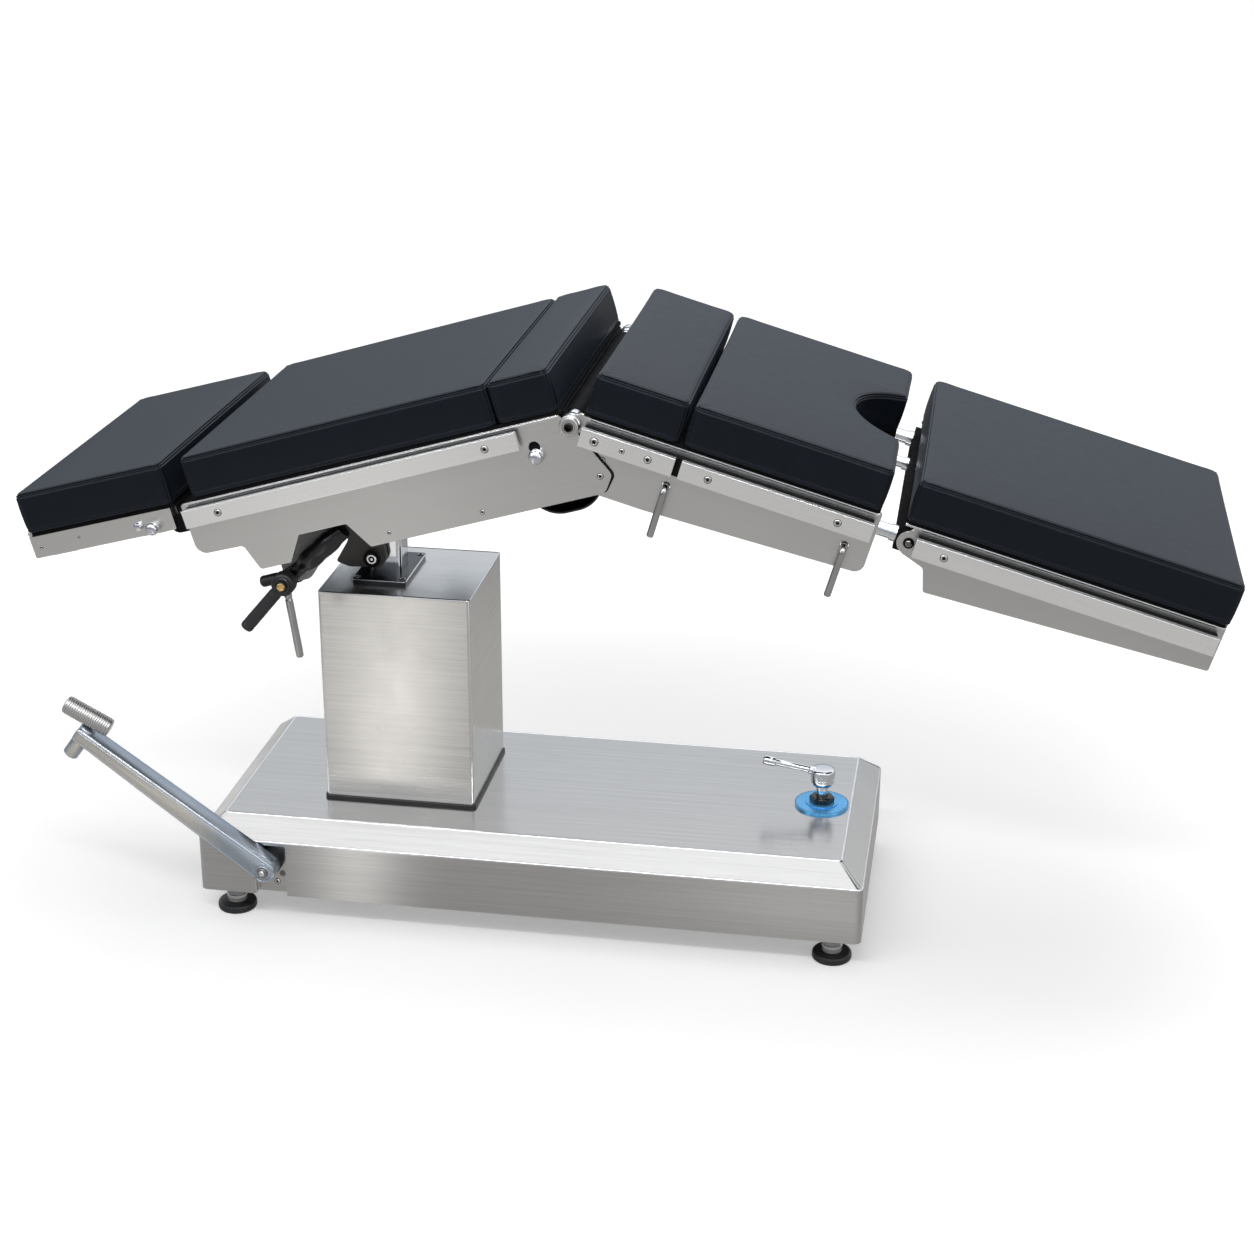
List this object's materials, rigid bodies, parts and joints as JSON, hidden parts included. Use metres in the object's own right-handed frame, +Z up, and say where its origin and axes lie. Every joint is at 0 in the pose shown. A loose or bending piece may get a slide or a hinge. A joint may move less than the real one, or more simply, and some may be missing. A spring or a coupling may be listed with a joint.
{
  "type": "operating table",
  "caption": "Hydraulic operating table with a padded top in jointed sections, side rails, a pump pedal, control levers and a covered steel base and column.",
  "frame": {"origin": "centre of the bounding box in X and Y as the table stands, at floor level", "axes": "+X towards the leg end, +Y away from the pedal side, +Z up"},
  "size_m": [1.8735, 0.58, 0.9845],
  "materials": {
    "steel_satin": "brushed stainless steel",
    "steel_bright": "polished",
    "steel_dark": "satin black coating",
    "arm_paint": "satin blue-grey paint",
    "cast_grey": "painted casting",
    "pad_cover": "smooth coated fabric over foam",
    "grip_black": "fine matt",
    "disc_blue": "gloss",
    "rubber_black": "matt"
  },
  "bodies": {
    "base": {"base_cover": "steel_satin", "base_chassis": "cast_grey", "column_gasket": "rubber_black", "column_cover": "steel_satin", "column_flange": "steel_dark", "guide_tube": "steel_satin", "hydraulic_cylinder": "steel_satin", "hydraulic_pump": "cast_grey", "pedal_bush": "grip_black", "lock_disc": "disc_blue", "lock_nut": "grip_black"},
    "foot_1": {"foot_front_left": "rubber_black"},
    "foot_2": {"foot_front_right": "rubber_black"},
    "foot_3": {"foot_rear_left": "rubber_black"},
    "foot_4": {"foot_rear_right": "rubber_black"},
    "lock": {"lock_lever": "steel_bright"},
    "pedal": {"pedal_shaft": "steel_bright", "pedal_arm": "arm_paint", "pedal_tread": "steel_bright"},
    "lift": {"lift_post": "steel_bright", "lift_ram": "steel_bright"},
    "carriage": {"trunnion_plates": "steel_dark", "trunnion_saddle": "steel_dark", "roll_shaft": "steel_bright", "tilt_bolt": "steel_bright"},
    "back": {"back_plate_front": "steel_satin", "back_plate_rear": "steel_satin", "back_frame": "steel_satin", "back_deck": "steel_satin", "back_pad": "pad_cover", "back_rails": "steel_satin", "break_pins": "steel_bright", "kidney_trough": "steel_dark", "lever_bracket": "steel_satin", "lever_shaft": "steel_dark"},
    "kidney": {"kidney_plate": "steel_satin", "kidney_rods": "steel_bright", "kidney_pad": "pad_cover"},
    "crank": {"crank_socket": "steel_dark"},
    "catch": {"catch_knob": "steel_bright"},
    "handle": {"tilt_handle": "grip_black"},
    "release": {"release_rod": "steel_bright"},
    "grip": {"short_grip": "grip_black"},
    "seat": {"seat_plate_front": "steel_satin", "seat_plate_rear": "steel_satin", "seat_frame": "steel_satin", "seat_front_pad": "pad_cover", "seat_pad": "pad_cover", "seat_rails": "steel_satin"},
    "near_lever": {"seat_lever_near": "steel_bright"},
    "far_lever": {"seat_lever_far": "steel_bright"},
    "leg_carrier": {"leg_pins": "steel_bright", "leg_bar": "steel_dark"},
    "leg": {"leg_frame": "steel_satin", "leg_pad": "pad_cover", "leg_rails": "steel_satin"},
    "head_carrier": {"head_bar": "steel_dark"},
    "head": {"head_frame": "steel_satin", "head_pad": "pad_cover"},
    "head_turn": {"head_knob": "steel_bright"}
  },
  "joints": [
    {"name": "lift_slide", "type": "slide", "parent": "base", "child": "lift", "axis": [0, 0, 1], "range_m": [0, 0.25]},
    {"name": "long_tilt", "type": "hinge", "parent": "lift", "child": "carriage", "pos_m": [-0.42844, 0, 0.586], "axis": [0, 1, 0], "range_deg": [-8.5, 25]},
    {"name": "lateral_tilt", "type": "hinge", "parent": "carriage", "child": "back", "pos_m": [-0.46845, 0, 0.66051], "axis": [0.9588, 0, 0.284], "range_deg": [-15, 15]},
    {"name": "kidney_lift", "type": "slide", "parent": "back", "child": "kidney", "axis": [-0.284, 0, 0.9588], "range_m": [0, 0.1]},
    {"name": "crank_spin", "type": "hinge", "parent": "back", "child": "crank", "pos_m": [-0.05441, -0.27, 0.89996], "axis": [0, 1, 0], "range_deg": [-30, 2200]},
    {"name": "catch_slide", "type": "slide", "parent": "back", "child": "catch", "axis": [-0.284, 0, 0.9588], "range_m": [0, 0.0125]},
    {"name": "handle_turn", "type": "hinge", "parent": "back", "child": "handle", "pos_m": [-0.50979, -0.262, 0.61697], "axis": [0, 1, 0], "range_deg": [-60, 25]},
    {"name": "release_turn", "type": "hinge", "parent": "back", "child": "release", "pos_m": [-0.50979, -0.241, 0.61697], "axis": [0, 1, 0], "range_deg": [-30, 30]},
    {"name": "grip_turn", "type": "hinge", "parent": "back", "child": "grip", "pos_m": [-0.50979, -0.224, 0.61697], "axis": [0, 1, 0], "range_deg": [-40, 30]},
    {"name": "break_hinge", "type": "hinge", "parent": "back", "child": "seat", "pos_m": [-0.05441, 0, 0.89996], "axis": [0, 1, 0], "range_deg": [-42, 7.5]},
    {"name": "near_lever_turn", "type": "hinge", "parent": "seat", "child": "near_lever", "pos_m": [0.08891, -0.278, 0.81205], "axis": [0, 1, 0], "range_deg": [-90, 0]},
    {"name": "far_lever_turn", "type": "hinge", "parent": "seat", "child": "far_lever", "pos_m": [0.35614, -0.278, 0.73542], "axis": [0, 1, 0], "range_deg": [0, 90]},
    {"name": "leg_slide", "type": "slide", "parent": "seat", "child": "leg_carrier", "axis": [0.9613, 0, -0.2756], "range_m": [0, 0.07]},
    {"name": "leg_hinge", "type": "hinge", "parent": "leg_carrier", "child": "leg", "pos_m": [0.45038, 0, 0.74481], "axis": [0, -1, 0], "range_deg": [-65, 15]},
    {"name": "head_slide", "type": "slide", "parent": "back", "child": "head_carrier", "axis": [-0.9588, 0, -0.284], "range_m": [0, 0.06]},
    {"name": "head_hinge", "type": "hinge", "parent": "head_carrier", "child": "head", "pos_m": [-0.67587, 0, 0.70232], "axis": [0, 1, 0], "range_deg": [-60, 15]},
    {"name": "head_knob_turn", "type": "hinge", "parent": "head", "child": "head_turn", "pos_m": [-0.71411, -0.27, 0.69814], "axis": [0, 1, 0], "range_deg": [-180, 180]},
    {"name": "lock_turn", "type": "hinge", "parent": "base", "child": "lock", "pos_m": [0.32056, 0, 0.22], "axis": [0, 0, 1], "range_deg": [0, 90]},
    {"name": "pedal_press", "type": "hinge", "parent": "base", "child": "pedal", "pos_m": [-0.57044, -0.25, 0.11], "axis": [0, 1, 0], "range_deg": [-30, 0], "stiffness_Nm_per_rad": 12, "springref_deg": 62.97},
    {"name": "foot_1_turn", "type": "hinge", "parent": "base", "child": "foot_1", "pos_m": [-0.64444, -0.193, 0], "axis": [0, 0, 1], "range_deg": [-180, 180]},
    {"name": "foot_2_turn", "type": "hinge", "parent": "base", "child": "foot_2", "pos_m": [0.35956, -0.193, 0], "axis": [0, 0, 1], "range_deg": [-180, 180]},
    {"name": "foot_3_turn", "type": "hinge", "parent": "base", "child": "foot_3", "pos_m": [-0.64444, 0.193, 0], "axis": [0, 0, 1], "range_deg": [-180, 180]},
    {"name": "foot_4_turn", "type": "hinge", "parent": "base", "child": "foot_4", "pos_m": [0.35956, 0.193, 0], "axis": [0, 0, 1], "range_deg": [-180, 180]}
  ],
  "couplings": [
    {"joint": "crank_spin", "follows": "kidney_lift", "rad_per_m": 376.99}
  ]
}
